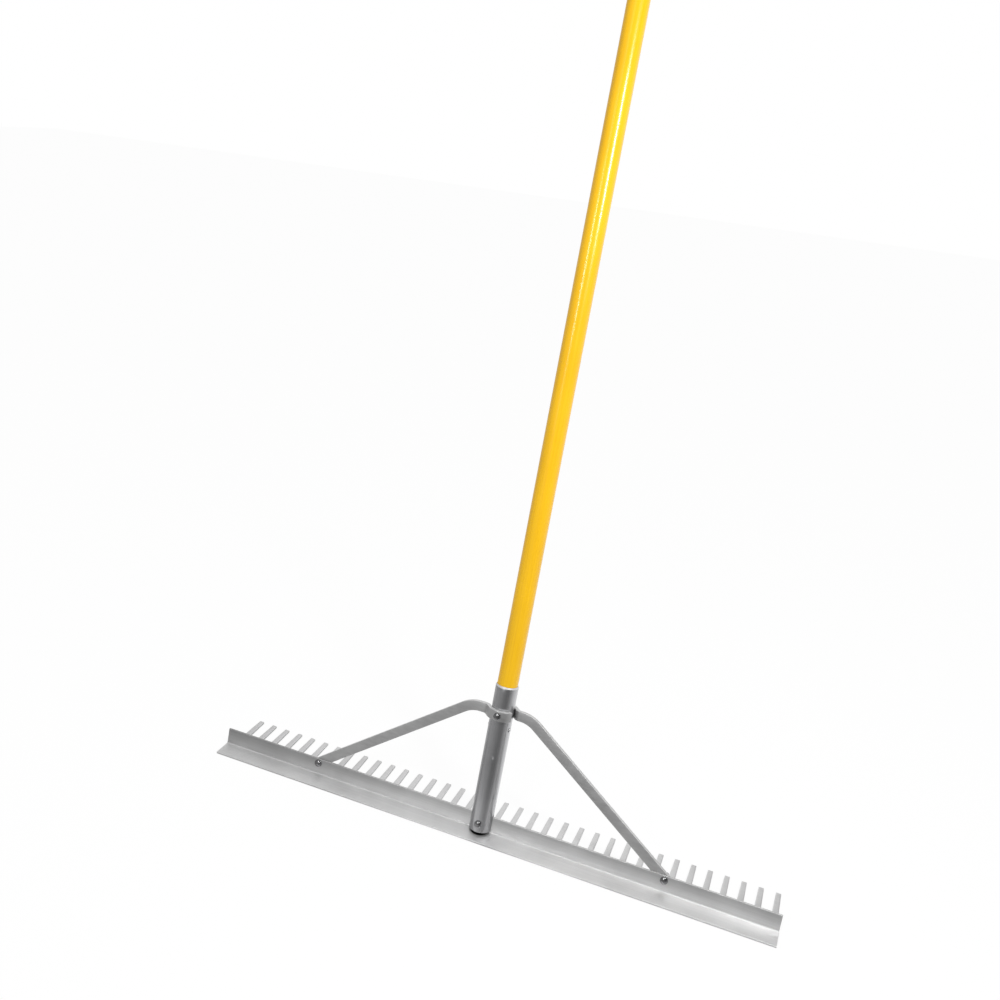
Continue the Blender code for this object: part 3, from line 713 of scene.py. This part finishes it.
def make_brace(name, side):
    """Carries the section along the line with its width as upright as the line allows. The first and
    last rings are drawn in, which rounds the sawn ends."""
    line = brace_line(side)
    near_ends = [
        [here + (there - here) / np.linalg.norm(there - here) * bar_end_edge]
        for here, there in ((line[0], line[1]), (line[-1], line[-2]))
    ]
    line = np.concatenate([line[:1], near_ends[0], line[1:-1], near_ends[1], line[-1:]])
    ahead = np.gradient(line, axis=0)
    ahead /= np.linalg.norm(ahead, axis=1)[:, None]
    across = np.array([0.0, 0.0, 1.0]) - ahead[:, 2:] * ahead
    across /= np.linalg.norm(across, axis=1)[:, None]
    through = np.cross(ahead, across)
    section = bar_section()
    rings = line[:, None, :] + section[None, :, :1] * through[:, None, :]
    rings += section[None, :, 1:] * across[:, None, :]
    drawn_in = section * (1 - bar_end_edge / np.array([bar_thickness / 2, bar_width / 2]))
    for end in (0, -1):
        rings[end] = line[end] + drawn_in[:, :1] * through[end] + drawn_in[:, 1:] * across[end]
    brace = Piece(name)
    brace.grid(rings, wrap_columns=True)
    brace.cap(rings[0])
    brace.cap(rings[-1])
    return brace


def paint_light_on_tops(material):
    """Faces that look up are painted lighter, as painted light from above, and made rougher, by steps
    in the upward part of the normal.
    """
    tree = material.node_tree
    normal = tree.nodes["Texture Coordinate"].outputs["Normal"]
    upward = add_node(tree, "SeparateXYZ", Vector=normal).outputs["Z"]
    # Painted light on the up-facing faces.
    scale_colour(tree, soft_step(tree, upward, *looks_up, 1.0, 1.35))
    scale_roughness(tree, soft_step(tree, upward, *looks_up, 1.0, 1.7))


bar_metal = streaked_metal(
    "flat_bar_aluminium", (0.54, 0.54, 0.54), 0.42, (60.0, 260.0, 260.0), haze=0.13, bumps=0.015
)
paint_light_on_tops(bar_metal)
for name, side in (("brace_left", -1), ("brace_right", 1)):
    brace = make_brace("dressed_" + name, side)
    brace.make(bar_metal, name, "aluminium_bar", smooth_angle=40, place=from_handle_axes)

# Bolts, washers and nuts
# Bright plated steel. Four domed bolts have their heads on the blade side, and each holds a plain
# washer and a hexagon nut on the teeth side. The end of the rolled thread stands out of the nut.
bolt_radius = 3.0 * MM
bolt_head_radius = 5.8 * MM
bolt_head_height = 3.9 * MM
bolt_head_skirt = 0.9 * MM
bolt_head_edge = 0.15 * MM
bolt_plain = 2 * bolt_radius
bolt_point = 0.5 * MM
bolt_point_radius = 0.75 * bolt_radius
bolt_sides = 40
thread_pitch = 1.0 * MM
thread_depth = 0.5 * MM
most_thread_rows = 400
nut_flats = 10.0 * MM
nut_height = 5.0 * MM
nut_bore = bolt_radius + 0.05 * MM
nut_lip = 0.4 * MM
nut_chamfer_rows = 8
nut_chamfer_rise = 0.9 * MM
nut_face_radius = 0.97 * nut_flats / 2
nut_cone_slope = math.tan(math.radians(60))
nut_sides = 96
washer_radius = 6.0 * MM
washer_thickness = 1.6 * MM
washer_edge = 0.25 * MM
washer_sides = 56
bolt_end = 2.6 * MM
foot_bolt_height = 15.0 * MM


def make_plating():
    """Bright plate with small duller spots."""
    material, tree, shader, place = new_material("bright_plate")
    spots = noise(tree, place, 500.0, 4.0)
    tint = ramp(tree, spots, [(0.0, 0.19), (1.0, (0.33, 0.33, 0.34))])
    fill(shader, Metallic=1.0, Base_Color=tint, Roughness=change(tree, spots, 0.0, 1.0, 0.06, 0.14))
    return material


plating = make_plating()


def faces_front(place):
    """A function that lays a piece turned about z along -y in handle axes, then moves it to its place
    and on to the world."""
    return lambda points: from_handle_axes(
        np.stack([points[:, 0], -points[:, 2], points[:, 1]], axis=1) + np.array(place)
    )


def thread(radius, height, angle):
    """Takes a triangular groove off the radii that stand past the plain part. Its depth follows the
    height, in pitches, less the angle, in turns."""
    turns = (height / thread_pitch - angle / (2 * math.pi)) % 1.0
    groove = thread_depth * np.abs(2 * turns - 1)
    cut = (radius > bolt_point_radius) & (radius <= bolt_radius) & (height < -bolt_plain)
    return np.where(cut, radius - groove, radius)


def make_bolt(name, place, shank):
    """A dome that is a quarter ellipse, a short skirt, a plain shank and a grooved end."""
    bow = np.radians(np.linspace(0, 90, 16))
    dome = np.stack([
        bolt_head_radius * np.sin(bow),
        bolt_head_skirt + (bolt_head_height - bolt_head_skirt) * np.cos(bow),
    ], axis=1)
    thread_rows = min(int(round((shank - bolt_plain) / (thread_pitch / 8))), most_thread_rows)
    grooved = np.linspace(-bolt_plain, -shank + bolt_point, thread_rows)
    profile = np.concatenate([
        dome,
        [(bolt_head_radius, bolt_head_edge), (bolt_head_radius - bolt_head_edge, 0.0)],
        [(bolt_radius, 0.0)],
        np.stack([np.full(thread_rows, bolt_radius), grooved], axis=1),
        [(bolt_point_radius, -shank), (0.0, -shank)],
    ])
    bolt = Piece("dressed_" + name)
    turned(bolt, profile, bolt_sides, bend=thread)
    bolt.make(plating, name, "bright_steel", place=faces_front(place))


def make_washer(name, place):
    """A flat ring with slightly rounded outer edges, turned from one closed line."""
    outer = np.concatenate([
        arc((washer_radius - washer_edge, -washer_edge), washer_edge, 90, 0, 4),
        arc((washer_radius - washer_edge, washer_edge - washer_thickness), washer_edge, 0, -90, 4),
    ])
    bore = bolt_radius + fit_gap
    washer = Piece("dressed_" + name)
    profile = np.concatenate([outer, [(bore, -washer_thickness), (bore, 0.0)]])
    turned(washer, profile, washer_sides, closed=True)
    washer.make(plating, name, "bright_steel", place=faces_front(place))


def hexagon(radius, height, angle):
    """The side's radii become the lesser of the hexagon's at each angle, which is half the flats over
    the cosine of the angle from a flat's middle, and of the cone that chamfers its corners."""
    flat = (nut_flats / 2) / np.cos((angle % (math.pi / 3)) - math.pi / 6)
    from_face = np.minimum(-height, nut_height + height)
    cone = nut_face_radius + np.maximum(from_face, 0) * nut_cone_slope
    return np.where(radius == nut_flats / 2, np.minimum(flat, cone), radius)


def make_nut(name, place):
    """The hexagon's side is turned in many rows, so that its chamfer makes the usual curved edges."""
    near = np.linspace(0, nut_chamfer_rise, nut_chamfer_rows)
    rows = np.concatenate([-near, -(nut_height - near[::-1])])
    side = np.stack([np.full(len(rows), nut_flats / 2), rows], axis=1)
    lip = nut_bore + nut_lip
    profile = np.concatenate([
        [(lip, 0.0)], side, [(lip, -nut_height), (nut_bore, nut_lip - nut_height), (nut_bore, -nut_lip)]
    ])
    nut = Piece("dressed_" + name)
    turned(nut, profile, nut_sides, closed=True, bend=hexagon)
    nut.make(plating, name, "bright_steel", smooth_angle=25, place=faces_front(place))


def make_bolt_set(prefix, suffix, place, grip):
    """One bolt with its washer and nut, each a fit gap behind the last."""
    x, y, z = place
    washer_y = y + grip + fit_gap
    nut_y = washer_y + washer_thickness + fit_gap
    make_bolt(prefix + "_bolt" + suffix, place, nut_y + nut_height + bolt_end - y)
    make_washer(prefix + "_washer" + suffix, (x, washer_y, z))
    make_nut(prefix + "_nut" + suffix, (x, nut_y, z))


tab_grip = tab_y + bar_thickness / 2 + fit_gap
for suffix, side in (("_left", -1), ("_right", 1)):
    make_bolt_set("brace", suffix, (side * brace_bolt_x, -fit_gap, brace_bolt_height), tab_grip)
for prefix, outside, height in (
    ("collar", wrap_radius + bar_thickness / 2, collar_height),
    ("foot", tube_radius, foot_bolt_height),
):
    make_bolt_set(prefix, "", (0.0, tube_axis_y - outside - fit_gap, height), 2 * outside + fit_gap)

# The cross rivet
# An aluminium rivet through the socket and the handle, a little under the collar, with a low domed
# head at each end. Each dome has a small dip in its middle.
rivet_radius = 2.0 * MM
rivet_head_radius = 3.4 * MM
rivet_head_height = 1.4 * MM
rivet_dip = np.array([0.3, 0.25, 0.05]) * MM
rivet_height = collar_height - 24.3 * MM
rivet_turn = math.radians(-10)


def faces_right(points):
    """Lays a piece turned about z along x in handle axes, its right end a little forwards, on the
    handle's axis at its height."""
    along, across = points[:, 2], points[:, 1]
    laid = np.stack([
        along * math.cos(rivet_turn) - across * math.sin(rivet_turn),
        along * math.sin(rivet_turn) + across * math.cos(rivet_turn),
        -points[:, 0],
    ], axis=1)
    return from_handle_axes(laid + np.array([0.0, tube_axis_y, rivet_height]))


bow = np.radians(np.linspace(0, 90, 12))
rivet_seat = tube_radius + fit_gap
rivet_dome = np.stack([
    rivet_head_radius * np.sin(bow), rivet_seat + rivet_head_height * np.cos(bow)
], axis=1)
rivet_dome[:len(rivet_dip), 1] -= rivet_dip
rivet_half = np.concatenate([rivet_dome, [(rivet_radius, rivet_seat)]])
rivet = Piece("dressed_cross_rivet")
turned(rivet, np.concatenate([rivet_half, rivet_half[::-1] * (1, -1)]), bolt_sides)
rivet_metal = streaked_metal("rivet_aluminium", (0.66, 0.66, 0.67), 0.28, (300.0, 300.0, 300.0))
rivet.make(rivet_metal, "cross_rivet", "rivet_aluminium", place=faces_right)

# The floor and the light
# A plain white floor in a plain studio. Round the horizon the room is white behind the rake, grey to
# the left and dark on the camera's right, which the bare metal shows. Two soft lamps hang in front.
floor_half = 12.0
floor_height = -0.5 * MM
floor_plain_share = 0.94
floor_patch = (0.0, -0.12, 0.0)
floor_patch_edge = (0.04, 0.27)
floor_patch_level = 2.2
room_levels = (
    (-180, 1.1), (-145, 0.66), (-112, 0.60), (-77, 0.45), (-29, 0.37), (-8, 0.27), (30, 0.15),
    (45, 0.18), (62, 0.32), (84, 0.60), (109, 0.96), (142, 1.15), (180, 1.1),
)
ceiling_levels = ((0.175, 0.36), (0.34, 0.85), (0.43, 1.60), (0.46, 1.32), (0.50, 0.40), (0.70, 0.15))
ceiling_starts = (0.13, 0.36)


def room_level(tree, direction):
    """A grey whose level follows the direction round z, from the back over -x, -y and +x. The
    direction's axes come with it."""
    axes = add_node(tree, "SeparateXYZ", Vector=direction).outputs
    around = maths(tree, "ARCTAN2", axes["X"], maths(tree, "MULTIPLY", axes["Y"], -1.0))
    share = change(tree, around, -math.pi, math.pi, 0.0, 1.0)
    return ramp(tree, share, [(azimuth / 360 + 0.5, level) for azimuth, level in room_levels]), axes


def mix_shaders(tree, share, first, second):
    """Two shaders, the second by its share."""
    return add_node(tree, "MixShader", share, first, second).outputs["Shader"]


def make_floor():
    """Camera rays see the floor mostly as plain white, with the rest of it lit, so it keeps the
    shadow. Reflections see the room's level on it, lighter on a patch before the rake's foot."""
    material, tree, shader, place = new_material("floor_white")
    fill(shader, Base_Color=(0.86, 0.86, 0.86, 1), Roughness=0.9, Specular_IOR_Level=0.1)
    rays = add_node(tree, "LightPath").outputs
    level, _ = room_level(tree, place)
    reach = measure(tree, "DISTANCE", place, floor_patch)
    bright = soft_step(tree, reach, *floor_patch_edge, floor_patch_level, 1.0)
    plain = add_node(tree, "Emission").outputs["Emission"]
    mirrored = add_node(tree, "Emission", Color=level, Strength=bright).outputs["Emission"]
    share = maths(tree, "MULTIPLY", rays["Is Camera Ray"], floor_plain_share)
    seen = mix_shaders(tree, share, shader.outputs["BSDF"], plain)
    reflected = maths(tree, "MAXIMUM", rays["Is Glossy Ray"], rays["Is Transmission Ray"])
    fill(tree.nodes["Material Output"], Surface=mix_shaders(tree, reflected, seen, mirrored))
    mesh = bpy.data.meshes.new("floor")
    signs = ((-1, -1), (1, -1), (1, 1), (-1, 1))
    corners = [(x * floor_half, y * floor_half, floor_height) for x, y in signs]
    mesh.from_pydata(corners, [], [(0, 1, 2, 3)])
    mesh.materials.append(material)
    floor = bpy.data.objects.new("floor", mesh)
    bpy.context.scene.collection.objects.link(floor)


def make_lamp(name, azimuth, elevation, distance, target, width, height, level):
    """A lamp seen from its target at an azimuth from -y towards +x and an elevation, in degrees. Its
    power gives that level of light there, where 1 shows a colour as it is written."""
    lamp = bpy.data.lights.new(name, "AREA")
    lamp.shape = "RECTANGLE"
    lamp.size, lamp.size_y = width, height
    lamp.energy = level * (math.pi * distance) ** 2
    turn, rise = math.radians(azimuth), math.radians(elevation)
    level_way = Vector((math.sin(turn), -math.cos(turn), 0.0))
    towards = level_way * math.cos(rise) + Vector((0.0, 0.0, math.sin(rise)))
    stand = bpy.data.objects.new(name, lamp)
    stand.location = Vector(target) + towards * distance
    stand.rotation_euler = towards.to_track_quat("Z", "Y").to_euler()
    bpy.context.scene.collection.objects.link(stand)


def make_studio():
    """Camera rays see plain white and scattered light comes from an even level. Reflections see the
    room's level near the horizon, which blends into the ceiling, lighter left of its middle."""
    world = bpy.data.worlds.new("studio")
    bpy.context.scene.world = world
    world.use_nodes = True
    tree = world.node_tree
    level, axes = room_level(tree, add_node(tree, "TexCoord").outputs["Generated"])
    upwards = soft_step(tree, axes["Z"], *ceiling_starts, 0.0, 1.0)
    ceiling = ramp(tree, change(tree, axes["X"], -1.0, 1.0, 0.0, 1.0), ceiling_levels)
    room = fill(tree.nodes["Background"], Color=mixed(tree, upwards, level, ceiling, "RGBA"))
    even = add_node(tree, "Background", Color=(0.80, 0.80, 0.80, 1))
    white = add_node(tree, "Background", Color=(1, 1, 1, 1))
    room, even, white = (node.outputs["Background"] for node in (room, even, white))
    rays = add_node(tree, "LightPath").outputs
    unseen = mix_shaders(tree, rays["Is Diffuse Ray"], room, even)
    fill(tree.nodes["World Output"], Surface=mix_shaders(tree, rays["Is Camera Ray"], unseen, white))


make_floor()
make_studio()
make_lamp(
    "high_right", azimuth=50, elevation=27, distance=1.0, target=(0.0, 0.19, 0.85),
    width=0.18, height=0.32, level=1.05,
)
make_lamp(
    "front_left", azimuth=-9, elevation=17, distance=2.6, target=(0.0, 0.19, 0.83),
    width=0.42, height=0.5, level=0.18,
)

# The camera
# It stands in front and to the right, 21 degrees above the level, turned a little about its own line.
camera_data = bpy.data.cameras.new("camera")
camera_data.sensor_width = 36.0
camera_data.lens = 36.41
camera = bpy.data.objects.new("camera", camera_data)
camera.location = (0.3797, -1.2136, 1.0389)
camera.rotation_euler = tuple(math.radians(angle) for angle in (68.740, -6.028, 20.883))
bpy.context.scene.collection.objects.link(camera)
bpy.context.scene.camera = camera
bpy.context.scene.view_settings.view_transform = "Standard"
